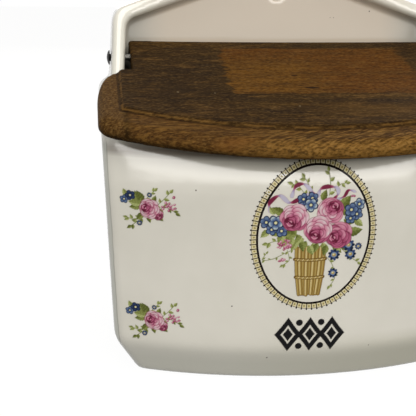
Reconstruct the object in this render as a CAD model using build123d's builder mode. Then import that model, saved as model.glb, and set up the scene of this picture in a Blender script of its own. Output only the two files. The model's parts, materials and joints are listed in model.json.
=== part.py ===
from build123d import *
import math
import os

# Wall salt box: a slip-cast, glazed ceramic box whose side walls sweep up into two arms and
# a framed back plate, closed by one sloping wooden lid that turns on two screws through the arms.
#
# Row frame, millimetres: +X to the right seen from the front, +Y towards the wall, +Z up.
# The origin is on the underside, midway between the wall plane and the front of the bow.

# ---- ceramic box ----
box_depth = 106.0            # wall plane to the front of the bow, at the belt
belt_width = 171.0           # across the sides at the belt
belt_height = 17.0           # where the sloping foot meets the walls
bow_rise = 19.0              # how far the middle of the front stands ahead of its corners
side_foot_inset = 10.5       # foot is narrower than the belt by this much each side
front_foot_inset = 7.8       # and shallower by this much at the front
side_draft = 2.7             # degrees, walls lean outwards going up
front_draft = 1.0            # degrees
belt_round = 15.0
shoulder_round = 21.0        # front wall rolls back to the rim
corner_round = 7.0           # upright corners and the sides of the rim
foot_round = 3.5
wall = 6.5                   # cast thickness of the walls and the floor
inner_corner_round = 5.0
inner_shoulder = 7.2         # chamfer of the hollow behind the rolled front, hidden under the rim
level_rim = 53.0             # from the wall plane forwards, the rim outside the arms is level
rim_sweep_round = 30.0       # where the level rim turns down to the slope of the lid
rim_land = 3.5               # flat left on the rim behind the front shoulder
mouth_corner = 12.0
ledge = 1.6                  # left on the rim inside each arm

# ---- back plate and arms ----
panel_thickness = 7.0
arm_thickness = 6.4
arm_step = 1.35              # at the hinge, an arm's outer face stands this far in from the belt
arm_lean = 4.0               # degrees, the arms lean together going up
arm_foot = 49.2              # from the wall plane to where an arm leaves the rim
arm_rise = 45.0              # degrees above level, front edge of an arm
frame_depth = 13.0           # wall plane to the front of the raised frame
frame_width = 7.0            # raised frame along the top of the back plate
gable_height = 159.0         # where the sloping top would meet the outer face of an arm
gable_slope = 18.5           # degrees
gable_round = 60.0           # the peak
frame_corner = 9.0
pocket_corner = 6.0
frame_sweep_round = 10.0     # arm edge running into the frame
frame_edge_round = 2.6
cove_round = 3.0             # frame running into the panel
frame_sink = 4.0             # how far the arms are rooted below the rim
hanging_hole_radius = 4.0
hanging_hole_drop = 18.5     # below the peak

# ---- lid and hinge ----
hinge_setback = 26.0         # wall plane to the hinge line
hinge_height = 137.0
lid_slope = 14.7             # degrees, falling to the front
board_thickness = 8.8
moulding_depth = 1.3         # the raised field stands this much above the margin
seat_gap = 0.3               # under the lid
tongue_gap = 3.25            # at the hinge, arm to the end of the tongue between the arms
tongue_back = 12.1           # hinge line to the back edge
tongue_hollow = 1.4          # the back edge is worn hollow by this much
wing_back = 25.3             # hinge line to where the lid widens
wing_width = 16.8            # each wing stands out beyond the tongue
lid_overhang = 19.15         # middle of the lid's front edge ahead of the middle of the bow
margin = 10.4                # moulded margin down the sides of the field
front_margin = 14.0
lid_bow = 23.6               # rise of the lid's curved front
wing_corner_across = 13.5    # rounded back corner of a wing, across and along the lid
wing_corner_along = 27.0
lid_front_round = 11.0
field_round = 3.0
margin_round = 5.0           # upper edge of the margin
underside_bevel = 1.2
field_edge_round = 1.0

screw_radius = 1.75
screw_reach = 24.0           # into the end of the tongue
arm_hole_clearance = 0.35
screw_head_radius = 3.45
screw_head_height = 1.4
head_gap = 0.3               # head to arm
slot_width = 0.9
slot_depth = 0.6
screw_point = 4.0            # length of the tapered tip
head_edge = 0.4              # upright edge of the head under its dome

# ---- for choosing edges and for cuts that run right through ----
near = 1.0                   # points closer than this lie at the same place
touch = 0.01                 # and closer than this in the same plane
beyond = 1.0                 # a cut runs past the surface by this much
side_share = 0.8             # edges further out than this share of the half width belong to a side
faces_front = -0.2           # a face whose normal has less Y than this looks to the front

# ---- places worked out from the sizes ----
wall_y = box_depth / 2
panel_y = wall_y - panel_thickness
front_y = -box_depth / 2
bow_radius = ((belt_width / 2) ** 2 + bow_rise**2) / (2 * bow_rise)
bow_axis = Axis((0, front_y + bow_radius, 0), (0, 0, 1))
block_top = hinge_height + hinge_setback   # the walls are drawn up to here, then cut to the rim
arm_outer = belt_width / 2 - arm_step
arm_inner = arm_outer - arm_thickness
lean = math.tan(math.radians(arm_lean))

slope = math.radians(lid_slope)
pivot = Vector(0, wall_y - hinge_setback, hinge_height)
lid_plane = Plane(origin=pivot, x_dir=(1, 0, 0), z_dir=(0, -math.sin(slope), math.cos(slope)))
underside_plane = lid_plane.offset(-board_thickness / 2)
seat_plane = underside_plane.offset(-seat_gap)
back_plane = Plane(origin=(0, wall_y, 0), x_dir=(1, 0, 0), z_dir=(0, -1, 0))


def seat_height(from_wall):
    """Height of the rim at a distance in front of the wall plane."""
    level = seat_plane.origin
    return level.Z - math.tan(slope) * (from_wall - (wall_y - level.Y))


def at_rim_turn(vertex):
    """True for the point of the side outline where the level rim turns down."""
    return abs(vertex.X - wall_y + level_rim) < near


def outline_edges(faces):
    """The edges that run round a group of faces, without the ones between them."""
    edges = ShapeList(edge for face in faces for edge in face.edges())
    return edges.filter_by(lambda edge: sum(edge.is_same(other) for other in edges) == 1)


def box_block(inset=0.0, back=0.0):
    """The box as a solid: the bowed front and the drafted sides, cut to the slope of the rim.

    With an inset it is the hollow, whose back lies in front of the wall plane. The hollow is plainer:
    its long edges along the sides stay sharp, and a chamfer follows the rolled front.
    """
    lean_side = block_top * math.tan(math.radians(side_draft))
    lean_front = block_top * math.tan(math.radians(front_draft))
    half = belt_width / 2
    axis_y = front_y + bow_radius
    with BuildPart() as block:
        with BuildSketch(Plane.YZ) as front_profile:
            with BuildLine():
                Polyline(
                    (axis_y, 0),
                    (front_y + front_foot_inset, 0),
                    (front_y, belt_height),
                    (front_y - lean_front, belt_height + block_top),
                    (axis_y, belt_height + block_top),
                    close=True,
                )
            make_face()
            if inset:
                offset(amount=-inset, kind=Kind.INTERSECTION)
            else:
                fillet(front_profile.vertices().group_by(Axis.Y)[1], belt_round)
        revolve(axis=bow_axis)
        with BuildSketch(back_plane) as across:
            with BuildLine():
                Polyline(
                    (side_foot_inset - half, 0),
                    (half - side_foot_inset, 0),
                    (half, belt_height),
                    (half + lean_side, belt_height + block_top),
                    (-half - lean_side, belt_height + block_top),
                    (-half, belt_height),
                    close=True,
                )
            make_face()
            if inset:
                offset(amount=-inset, kind=Kind.INTERSECTION)
            else:
                fillet(across.vertices().group_by(Axis.Y)[1], belt_round)
        extrude(amount=box_depth + lean_front, mode=Mode.INTERSECT)
        with BuildSketch(Plane.YZ) as side_outline:
            with BuildLine():
                Polyline(
                    (wall_y - back + inset, -belt_height),
                    (wall_y - back + inset, seat_height(level_rim)),
                    (wall_y - level_rim, seat_height(level_rim)),
                    (wall_y - 2 * box_depth, seat_height(2 * box_depth)),
                    (wall_y - 2 * box_depth, -belt_height),
                    close=True,
                )
            make_face()
            fillet(side_outline.vertices().filter_by(at_rim_turn), rim_sweep_round)
            if inset:
                offset(amount=-inset, kind=Kind.INTERSECTION)
        extrude(amount=belt_width, both=True, mode=Mode.INTERSECT)
        rim_front = block.faces().filter_by(seat_plane)[0].edges().sort_by(Axis.Y)[0]
        if inset:
            chamfer(rim_front, inner_shoulder)
        else:
            fillet(rim_front, shoulder_round)
        sides = block.edges().filter_by(lambda e: abs(e.center().X) > side_share * (half - inset))
        sides = sides.filter_by(lambda e: e.center().Z > inset + near)
        sides = sides.filter_by(lambda e: e.center().Y < wall_y - back - near)
        if inset:
            uprights = sides.filter_by(lambda e: abs((e % 0.5).Y) < abs((e % 0.5).Z))
            fillet(uprights, inner_corner_round)
        else:
            seams = sides.filter_by(Axis.Y).filter_by(lambda e: e.center().Z < 2 * belt_height)
            fillet(ShapeList(e for e in sides if e not in seams), corner_round)
    return block.part


# ---- back plate and arms, one frame with the panel sunk into it ----
frame_bottom = seat_height(arm_foot) - frame_sink
foot_spread = (hinge_height - frame_bottom) * lean
gable_half = arm_outer - (gable_height - hinge_height) * lean
frame_top = gable_height + gable_half * math.tan(math.radians(gable_slope))
frame_turn = seat_height(arm_foot) + (arm_foot - frame_depth) * math.tan(math.radians(arm_rise))
arm_run = frame_sink / math.tan(math.radians(arm_rise))
pocket_half = gable_half - arm_thickness
pocket_top = frame_top - frame_width / math.cos(math.radians(gable_slope))
pocket_side = pocket_top - pocket_half * math.tan(math.radians(gable_slope))

with BuildPart() as back_frame:
    with BuildSketch(back_plane) as gable_outline:
        with BuildLine():
            Polyline(
                (-arm_outer - foot_spread, frame_bottom),
                (arm_outer + foot_spread, frame_bottom),
                (gable_half, gable_height),
                (0, frame_top),
                (-gable_half, gable_height),
                close=True,
            )
        make_face()
        fillet(gable_outline.vertices().sort_by(Axis.Y)[-1], gable_round)
        fillet(gable_outline.vertices().filter_by(lambda v: abs(v.Y - gable_height) < near), frame_corner)
    extrude(amount=arm_foot + arm_run)
    with BuildSketch(Plane.YZ) as arm_profile:
        with BuildLine():
            Polyline(
                (wall_y, frame_bottom),
                (wall_y - arm_foot - arm_run, frame_bottom),
                (wall_y - frame_depth, frame_turn),
                (wall_y - frame_depth, frame_top),
                (wall_y, frame_top),
                close=True,
            )
        make_face()
        fillet(arm_profile.vertices().filter_by(lambda v: abs(v.Y - frame_turn) < near), frame_sweep_round)
    extrude(amount=belt_width, both=True, mode=Mode.INTERSECT)
    with BuildSketch(back_plane.offset(panel_thickness)) as pocket:
        with BuildLine():
            Polyline(
                (-arm_inner - foot_spread, frame_bottom),
                (arm_inner + foot_spread, frame_bottom),
                (pocket_half, pocket_side),
                (0, pocket_top),
                (-pocket_half, pocket_side),
                close=True,
            )
        make_face()
        fillet(pocket.vertices().sort_by(Axis.Y)[-1], gable_round - frame_width)
        fillet(pocket.vertices().filter_by(lambda v: abs(v.Y - pocket_side) < near), pocket_corner)
    extrude(amount=arm_foot + arm_run, mode=Mode.SUBTRACT)
    upper_edges = back_frame.edges().filter_by(lambda e: e.center().Z > frame_bottom + near)
    fillet(upper_edges.filter_by(lambda e: abs(e.center().Y - panel_y) < touch), cove_round)
    front_faces = back_frame.faces().filter_by(lambda f: f.normal_at().Y < faces_front)
    front_faces = front_faces.filter_by(lambda f: f.center().Y < panel_y - near)
    front_edges = outline_edges(front_faces)
    fillet(front_edges.filter_by(lambda e: e.center().Z > frame_bottom + near), frame_edge_round)

# ---- ceramic body: box, frame, hollow, mouth and holes in one casting ----
shoulder_run = shoulder_round * math.tan(math.radians(90 - lid_slope - front_draft) / 2)
mouth_radius = bow_radius + seat_height(box_depth) * math.tan(math.radians(front_draft))
mouth_radius -= shoulder_run + rim_land
mouth_depth = seat_height(level_rim) - seat_height(box_depth) + 3 * wall
with BuildPart() as ceramic_body:
    add(box_block())
    foot = ceramic_body.faces().sort_by(Axis.Z)[0]
    fillet(foot.edges().filter_by(lambda e: e.center().Y < wall_y - near), foot_round)
    add(back_frame.part)
    add(box_block(wall, panel_thickness), mode=Mode.SUBTRACT)
    with BuildSketch(Plane.XY.offset(seat_height(level_rim) + wall)) as mouth:
        with Locations((0, front_y + bow_radius)):
            Circle(mouth_radius)
        with Locations((0, panel_y)):
            Rectangle(
                2 * (arm_inner - ledge), box_depth, align=(Align.CENTER, Align.MAX), mode=Mode.INTERSECT
            )
        fillet(mouth.vertices().group_by(Axis.Y)[0], mouth_corner)
    extrude(amount=-mouth_depth, mode=Mode.SUBTRACT)
    with BuildSketch(Plane.YZ) as hinge_holes:
        with Locations((pivot.Y, pivot.Z)):
            Circle(screw_radius + arm_hole_clearance)
    extrude(amount=arm_outer + beyond, both=True, mode=Mode.SUBTRACT)
    with BuildSketch(back_plane) as hanging_hole:
        with Locations((0, frame_top - hanging_hole_drop)):
            Circle(hanging_hole_radius)
    extrude(amount=frame_depth, mode=Mode.SUBTRACT)
ceramic_body.part.label = "ceramic_body"

# ---- hinge screws ----
dome_rise = screw_head_height - head_edge
dome_radius = (screw_head_radius**2 + dome_rise**2) / (2 * dome_rise)
tongue_half = arm_inner - tongue_gap
head_seat = arm_outer + screw_head_radius * lean + head_gap
head_top = head_seat + screw_head_height
screws = []

for side, name in ((-1, "left"), (1, "right")):
    half_section = Plane(origin=pivot, x_dir=(side, 0, 0), z_dir=(0, -side, 0))
    with BuildPart() as hinge_screw:
        with BuildSketch(half_section):
            with BuildLine():
                Polyline(
                    (head_top, 0),
                    (tongue_half - screw_reach, 0),
                    (tongue_half - screw_reach + screw_point, screw_radius),
                    (head_seat, screw_radius),
                    (head_seat, screw_head_radius),
                    (head_seat + head_edge, screw_head_radius),
                )
                RadiusArc((head_seat + head_edge, screw_head_radius), (head_top, 0), dome_radius)
            make_face()
        revolve(axis=Axis(pivot, (side, 0, 0)))
        with BuildSketch(Plane(pivot, x_dir=(0, 1, 0), z_dir=(side, 0, 0)).offset(head_top)):
            Rectangle(slot_width, 2 * screw_head_radius)
        extrude(amount=-slot_depth, mode=Mode.SUBTRACT)
    hinge_screw.part.label = f"hinge_screw_{name}"
    screws.append(hinge_screw.part)

# ---- lid board: one plank with a raised field and a moulded margin ----
lid_half = tongue_half + wing_width
field_half = lid_half - margin
wing_turn = lid_half - wing_corner_across
lid_apex = (box_depth - hinge_setback + lid_overhang) / math.cos(slope)
lid_side_front = lid_apex - lid_bow
lid_front_radius = (lid_half**2 + lid_bow**2) / (2 * lid_bow)


def ahead_of_wings(edge):
    """True for an edge of the lid that lies in front of where it widens."""
    return lid_plane.to_local_coords(edge.center()).Y < -wing_back - near


with BuildPart() as lid_board:
    with BuildSketch(underside_plane) as board_outline:
        with BuildLine():
            Line((tongue_half, tongue_back), (tongue_half, -wing_back))
            Line((tongue_half, -wing_back), (lid_half, -wing_back))
            Line((lid_half, -wing_back), (lid_half, -lid_side_front))
            mirror(about=Plane.YZ)
            ThreePointArc(
                (-tongue_half, tongue_back), (0, tongue_back - tongue_hollow), (tongue_half, tongue_back)
            )
            ThreePointArc((-lid_half, -lid_side_front), (0, -lid_apex), (lid_half, -lid_side_front))
        make_face()
        fillet(board_outline.vertices().group_by(Axis.Y)[0], lid_front_round)
    extrude(amount=board_thickness - moulding_depth)
    margin_edges = lid_board.faces().filter_by(lid_plane).sort_by(Axis.Z)[-1].edges()
    fillet(margin_edges.filter_by(ahead_of_wings), margin_round)
    with BuildSketch(underside_plane) as wing_corners:
        with BuildLine():
            Line((wing_turn, -wing_back), (lid_half, -wing_back))
            Line((lid_half, -wing_back), (lid_half, -wing_back - wing_corner_along))
            EllipticalCenterArc(
                (wing_turn, -wing_back - wing_corner_along),
                wing_corner_across,
                wing_corner_along,
                start_angle=0,
                arc_size=90,
            )
        make_face()
        mirror(about=Plane.YZ)
    extrude(amount=board_thickness, mode=Mode.SUBTRACT)
    underside = lid_board.faces().filter_by(lid_plane).sort_by(Axis.Z)[0]
    chamfer(underside.edges(), underside_bevel)
    with BuildSketch(underside_plane.offset(underside_bevel)) as field_outline:
        add(board_outline.sketch_local)
        with Locations((0, lid_front_radius - lid_apex)):
            Circle(lid_front_radius - front_margin, mode=Mode.INTERSECT)
        Rectangle(2 * field_half, 4 * lid_apex, mode=Mode.INTERSECT)
        fillet(field_outline.vertices().group_by(Axis.Y)[0], field_round)
    extrude(amount=board_thickness - underside_bevel)
    field_top = lid_board.faces().filter_by(lid_plane).sort_by(Axis.Z)[-1]
    fillet(field_top.edges(), field_edge_round)
    add(screws, mode=Mode.SUBTRACT)
lid_board.part.label = "lid_board"

os.makedirs("parts", exist_ok=True)
for piece in (ceramic_body.part, lid_board.part, *screws):
    export_step(piece, f"parts/{piece.label}.step")
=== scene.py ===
# %% [markdown]
# A kitchen salt box for the wall. The box is one piece of slip-cast earthenware: liquid clay is
# poured into a plaster mould, the cast is dried and fired, printed with a coloured transfer and
# fired again under a clear glaze. A stained beech lid turns on two wood screws.
#
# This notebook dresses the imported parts. The first cell loads them, in metres. Each later cell
# makes one piece or one finish on top of them, and nothing is moved away from where it was built.

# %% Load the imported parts
import functools
import json
import math
import random

import bmesh
import bpy
import numpy as np
from mathutils import Matrix, Vector


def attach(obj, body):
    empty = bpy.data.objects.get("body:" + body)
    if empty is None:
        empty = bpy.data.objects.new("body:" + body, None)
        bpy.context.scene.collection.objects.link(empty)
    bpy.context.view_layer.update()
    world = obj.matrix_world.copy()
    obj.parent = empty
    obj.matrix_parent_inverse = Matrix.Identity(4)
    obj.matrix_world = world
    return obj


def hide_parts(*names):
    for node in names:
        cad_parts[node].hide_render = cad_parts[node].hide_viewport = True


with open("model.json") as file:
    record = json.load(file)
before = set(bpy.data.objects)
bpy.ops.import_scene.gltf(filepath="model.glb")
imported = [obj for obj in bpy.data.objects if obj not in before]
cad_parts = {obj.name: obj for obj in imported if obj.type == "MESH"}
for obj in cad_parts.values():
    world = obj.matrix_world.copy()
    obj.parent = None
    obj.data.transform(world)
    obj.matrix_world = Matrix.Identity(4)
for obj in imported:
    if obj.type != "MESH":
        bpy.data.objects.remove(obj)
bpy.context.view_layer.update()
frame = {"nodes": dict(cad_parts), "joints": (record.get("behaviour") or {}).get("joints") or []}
scene = bpy.context.scene
MM = 0.001
BOX, LID = "box", "lid"

# %% [markdown]
# Colours are written as the hex values that a paint program shows. A shader works with linear
# light, so one function turns the one into the other. A second function adds a node to any tree,
# sets its properties and links its inputs, and every material and every Geometry Nodes tree
# below is built with it.

# %% Colour and node helpers
MATH, VECTOR, RANGE = "ShaderNodeMath", "ShaderNodeVectorMath", "ShaderNodeMapRange"
NOISE, MIX = "ShaderNodeTexNoise", "ShaderNodeMix"


def new_object(name, data):
    """An object in the scene, at the origin."""
    made = bpy.data.objects.new(name, data)
    scene.collection.objects.link(made)
    return made


def linear(hex_colour):
    """An sRGB hex colour as linear red, green, blue and alpha."""
    channels = [int(hex_colour[i : i + 2], 16) / 255 for i in (0, 2, 4)]
    return tuple(c / 12.92 if c <= 0.04045 else ((c + 0.055) / 1.055) ** 2.4 for c in channels) + (1.0,)


def add(tree, kind, inputs=(), **settings):
    """Add a node. Its inputs are given by name, or in a list in their order.

    Each takes a value, an output to link, or a node, whose first output is linked.
    """
    node = tree.nodes.new(kind)
    for name, value in settings.items():
        setattr(node, name, value)
    for key, value in inputs.items() if isinstance(inputs, dict) else enumerate(inputs):
        if isinstance(value, bpy.types.Node):
            value = value.outputs[0]
        if isinstance(value, bpy.types.NodeSocket):
            tree.links.new(value, node.inputs[key])
        else:
            node.inputs[key].default_value = value
    return node


def new_material(name):
    """An empty node material and its tree."""
    material = bpy.data.materials.new(name)
    material.use_nodes = True
    material.node_tree.nodes.clear()
    return material, material.node_tree


print("mid grey 808080 is", round(linear("808080")[0], 3), "in linear light")

# %% [markdown]
# The camera stands a little left of the middle, just above the lid, and looks down at the front.
# Its place is given by where it stands, how far it is turned, tipped and rolled, and its focal
# length.

# %% Camera
STAND = Vector((-93.28, -410.68, 184.31)) * MM
TURN, TIP, ROLL = math.radians(-7.47), math.radians(-15.64), math.radians(0.85)
FOCAL_LENGTH = 77.67  # mm, for a film 36 mm wide
camera_data = bpy.data.cameras.new("camera")
camera_data.lens = FOCAL_LENGTH
camera_data.clip_start = 20 * MM
camera = new_object("camera", camera_data)
scene.camera = camera

ahead = Vector((-math.sin(TURN) * math.cos(TIP), math.cos(TURN) * math.cos(TIP), math.sin(TIP)))
level = Vector((math.cos(TURN), math.sin(TURN), 0))
above = level.cross(ahead)
across = level * math.cos(ROLL) + above * math.sin(ROLL)
upward = above * math.cos(ROLL) - level * math.sin(ROLL)
axes = Matrix((across, upward, -ahead)).transposed().to_4x4()
camera.matrix_world = Matrix.Translation(STAND) @ axes
print("camera stands at", [round(c, 3) for c in STAND], "lens", camera_data.lens)

# %% [markdown]
# The light is that of a plain studio: a pale room all round, a wide lamp in front that brings out
# the rolled shoulder, a small one overhead and a weak one behind. The room and the floor look
# white to the camera and to reflections, but they light the piece at a plain level. The floor
# keeps the shadow of the piece.

# %% World
ROOM_LIGHT = 0.24  # how strongly the room lights the piece
WHITE = (1, 1, 1, 1)
scene.view_settings.view_transform = "Standard"
world = bpy.data.worlds.new("studio")
scene.world = world
world.use_nodes = True
room = world.node_tree
room.nodes.clear()


def shows_background(tree):
    """1 for the rays that see the background as it is: camera, mirror and transmission rays."""
    path = add(tree, "ShaderNodeLightPath").outputs
    mirror = add(tree, MATH, [path["Is Glossy Ray"], path["Is Transmission Ray"]], operation="MAXIMUM")
    return add(tree, MATH, [path["Is Camera Ray"], mirror], operation="MAXIMUM")


dim = add(room, "ShaderNodeBackground", {"Color": linear("F6F5F2"), "Strength": ROOM_LIGHT})
white = add(room, "ShaderNodeBackground", {"Color": WHITE, "Strength": 1.0})
mixed = add(room, "ShaderNodeMixShader", [shows_background(room), dim, white])
add(room, "ShaderNodeOutputWorld", {"Surface": mixed})
print("the room lights at", ROOM_LIGHT)

# %% Lamps
LAMP_WHITE = "FFFCF7"  # a touch warmer than paper


def softbox(name, place, target, size, power):
    """An area lamp, size wide and high, that faces a point."""
    data = bpy.data.lights.new(name, "AREA")
    data.shape = "RECTANGLE"
    data.size, data.size_y = size
    data.energy = power
    data.color = linear(LAMP_WHITE)[:3]
    lamp = new_object(name, data)
    lamp.location = place
    lamp.rotation_euler = (Vector(target) - Vector(place)).to_track_quat("-Z", "Y").to_euler()
    print(name, "gives", power, "W")


softbox("front_softbox", place=(0.0, -1.08, 0.60), target=(0, -0.05, 0.10), size=(2.3, 0.60), power=16.0)
softbox("back_softbox", place=(0.35, 1.2, 0.5), target=(0, 0.05, 0.09), size=(1.2, 0.6), power=5.0)
softbox("top_softbox", place=(-0.1, -0.20, 1.30), target=(0, 0, 0.08), size=(0.7, 0.7), power=5.0)

# %% Floor
REACH = 3.0  # m, half the floor's width
FLOOR_GLOW = 0.96  # what the camera sees; the tone of the paint and its shadow come on top
floor_mesh = bpy.data.meshes.new("floor")
floor_mesh.from_pydata([(-REACH, -REACH, 0), (REACH, -REACH, 0), (REACH, REACH, 0), (-REACH, REACH, 0)], [],
                       [(0, 1, 2, 3)])
floor = new_object("floor", floor_mesh)
floor_paint, tree = new_material("matt_white_table")
matt = add(tree, "ShaderNodeBsdfDiffuse", {"Color": linear("4A4946")})
glow = add(tree, "ShaderNodeEmission", {"Color": WHITE, "Strength": FLOOR_GLOW})
lit = add(tree, "ShaderNodeAddShader", [matt, glow])
surface = add(tree, "ShaderNodeMixShader", [shows_background(tree), matt, lit])
add(tree, "ShaderNodeOutputMaterial", {"Surface": surface})
floor_mesh.materials.append(floor_paint)
print("floor is", 2 * REACH, "m wide")

# %% [markdown]
# The ceramic is one casting, so its skin should run on without a seam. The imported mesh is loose
# triangles of very different sizes, which a glossy glaze would show. So its points are merged
# and the shape is laid out again by a voxel remesh, in even cells of about a millimetre, then
# relaxed. That also softens the arrises by the little that a coat of glaze does.

# %% Helpers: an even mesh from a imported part
SAME_POINT = 0.0005 * MM  # points closer than this are one point
MOST_TRIANGLES = 192_000  # a piece with more would be thinned when it is exported


def bake_modifiers(piece):
    """Turn what the modifiers make into the piece's own plain mesh."""
    bpy.context.view_layer.update()
    evaluated = piece.evaluated_get(bpy.context.evaluated_depsgraph_get())
    result = bpy.data.meshes.new_from_object(evaluated)
    piece.modifiers.clear()
    piece.data = result


def relaid(node, name, cell, rounds):
    """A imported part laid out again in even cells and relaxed."""
    source = frame["nodes"][node].data
    mesh = bpy.data.meshes.new(name)
    mesh.from_pydata([v.co[:] for v in source.vertices], [], [p.vertices[:] for p in source.polygons])
    work = bmesh.new()
    work.from_mesh(mesh)
    bmesh.ops.remove_doubles(work, verts=work.verts, dist=SAME_POINT)
    work.to_mesh(mesh)
    work.free()
    piece = new_object(name, mesh)
    remesh = piece.modifiers.new("even_cells", "REMESH")
    remesh.mode = "VOXEL"
    remesh.voxel_size = cell
    remesh.use_smooth_shade = True
    relax = piece.modifiers.new("relax", "SMOOTH")
    relax.factor = 0.5
    relax.iterations = rounds
    bake_modifiers(piece)
    triangles = 2 * len(piece.data.polygons)
    if triangles > MOST_TRIANGLES:
        thin = piece.modifiers.new("fewer_on_the_flats", "DECIMATE")
        thin.ratio = MOST_TRIANGLES / triangles
        bake_modifiers(piece)
    print(name, "has", len(piece.data.polygons), "faces")
    return piece


def finish_piece(piece, material, body):
    """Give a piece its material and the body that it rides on."""
    piece.data.materials.clear()
    piece.data.materials.append(material)
    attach(piece, body)


# %% The ceramic body
ceramic = relaid("ceramic_body", "ceramic_glazed_body", cell=1.12 * MM, rounds=6)

# %% [markdown]
# The front wall of a cast box does not turn into its shoulder at a line. It leans back by and by,
# because the plaster drew the clay in there as it dried. A small rule does the same: it says how
# steeply the wall leans at each height, and adding those slopes up tells how far each point is
# drawn back. This short slope is what catches the light under the lid.

# %% Lean the top of the front wall back
LEAN_HEIGHTS = (87.0, 92.0, 98.0, 103.5)  # mm up the wall
LEAN_SLOPES = (0.0, 0.24, 0.24, 0.0)  # mm back for each mm up, there
ARMS_FRONT, LEAN_FULL = -12.0, -26.0  # mm: nothing leans behind the first, all ahead of the second
heights = np.linspace(LEAN_HEIGHTS[0], LEAN_HEIGHTS[-1], 100)
drawn_back = np.cumsum(np.interp(heights, LEAN_HEIGHTS, LEAN_SLOPES)) * (heights[1] - heights[0])
for vertex in ceramic.data.vertices:
    ahead_of_arms = np.interp(vertex.co.y / MM, (LEAN_FULL, ARMS_FRONT), (1, 0))
    vertex.co.y += ahead_of_arms * np.interp(vertex.co.z / MM, heights, drawn_back) * MM
ceramic.data.update()
print("the front is drawn back by up to", round(drawn_back[-1], 1), "mm")

# %% [markdown]
# The glaze, the wood and the steel all get their colours in layers, as dirt and wear come in
# layers, and a few layers are painted shade and painted highlight. A layer is one colour and a
# mask that says where it shows. A mask is built from readings, such as a height or a noise, that
# each turn from 0 to 1 between two limits, times one another.

# %% Masks and layers of colour
def mask(tree, *parts, ease="LINEAR"):
    """The product of its parts. (reading, low, high) is 0 at low and 1 at high, all else is as it stands."""
    product = None
    for part in parts:
        if isinstance(part, tuple):
            reading, low, high = part
            part = add(tree, RANGE, {"Value": reading, "From Min": low, "From Max": high},
                       interpolation_type=ease)
        product = part if product is None else add(tree, MATH, [product, part], operation="MULTIPLY")
    return product


def lay(tree, tone, *layers, ease="LINEAR"):
    """A tone with layers over it, each a hex colour and the parts of the mask that it shows through."""
    for hex_colour, *parts in layers:
        over = {"Factor": mask(tree, *parts, ease=ease), 6: tone, 7: linear(hex_colour)}
        tone = add(tree, MIX, over, data_type="RGBA").outputs[2]
    return tone


print("a mask is made of", RANGE, "nodes and a layer is a", MIX, "node")

# %% [markdown]
# Glazed earthenware: an ivory body under a clear lead-free glaze. The glaze is a smooth clear
# coat about 0.15 mm thick, so it mirrors the lamps sharply while the body beneath stays matt and
# warm. It was poured, so it is never quite flat: a long, very shallow wave of some 25 mm breaks
# the reflections up, and the colour drifts a little where the glaze is thicker. A few specks of
# iron in the clay have burnt through.

# %% Where the specks of iron are
def speck_at(x, z, start_y):
    """The point of the ceramic, in mm, that a straight line towards the wall meets first."""
    _, place, _, _ = ceramic.ray_cast(Vector((x, start_y, z)) * MM, Vector((0, 1, 0)))
    return place / MM


FAR_FRONT, OVER_LID = -150, 30  # mm: where such a line starts, for the front and for the panel
SPECKS = [(speck_at(x, z, start), radius) for x, z, start, radius in (
    (-50.9, 89.6, FAR_FRONT, 0.42), (-34.9, 37.9, FAR_FRONT, 0.42), (-18.6, 12.7, FAR_FRONT, 0.5),
    (27.7, 17.1, FAR_FRONT, 0.3), (-16.6, 90.9, FAR_FRONT, 0.25), (48.6, 158.5, OVER_LID, 0.45),
    (28.1, 155.2, OVER_LID, 0.25), (29.9, 155.2, OVER_LID, 0.25), (61.0, 48.0, FAR_FRONT, 0.35))]
print(len(SPECKS), "specks")

# %% [markdown]
# The body is an even ivory to begin with. The panel behind the lid is painted darker and warmer,
# as painted shade and warm light bounced from the lid. The foot is painted greyer, a painted shade
# where it turns down, and darker and yellower to the right. A brown band on the shoulder just
# beneath the lid is a painted shadow and a painted reflection of the lid. Heights and distances
# are in millimetres.

# %% Glaze: the colour of the body
IVORY = "D9D6CA"


def body_colour(tree, spot, at):
    """The ivory, its slow changes and painted shade. The noise reads the spot, the rest its X, Y and Z in mm.
    """
    drift = add(tree, NOISE, {"Vector": spot, "Scale": 1 / (38 * MM), "Detail": 3.0})
    return lay(tree, linear(IVORY),
               ("E1DED3", (drift, 0.35, 0.65)),
               # painted shade and warm bounced light on the panel behind the lid
               ("CDBFAD", 0.85, (at["Y"], 38, 45)),  # the panel behind the lid
               # painted shade on the foot, which turns down away from the lamps
               ("C9C8BA", 0.9, (at["Z"], 19, 9)),  # the foot
               ("B9B69F", (at["Z"], 24, 12), (at["X"], -40, 55)),  # the foot, to the right
               # painted shadow and painted reflection of the lid on the shoulder just beneath it
               ("5A4228", 0.62, (at["Z"], 101.5, 103.9), (at["Z"], 108, 105.5), (at["Y"], -15, -35)))


print("the ivory is", [round(c, 2) for c in linear(IVORY)[:3]], "in linear light")

# %% [markdown]
# Painted shade lies in the corners. The panel is painted greyer towards the arms, as a painted
# shade in the corners there, and a black painted shade sits round the hinge holes, in the gap
# under the lid. Round the front corners the side walls get a greyer painted shade, and a fine
# crooked dark line runs along the bend of the wall. The back keeps the plain ivory.

# %% Glaze: painted shade, a dark line and specks
# where the black painted shade in the gap under the lid sits, round each hinge hole
HINGE_SHADE = 75.5, 42.0, 129.0  # mm: sideways from the middle, back and up
BEND = 0.74  # how far a face looks sideways where the front turns into the side


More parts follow.
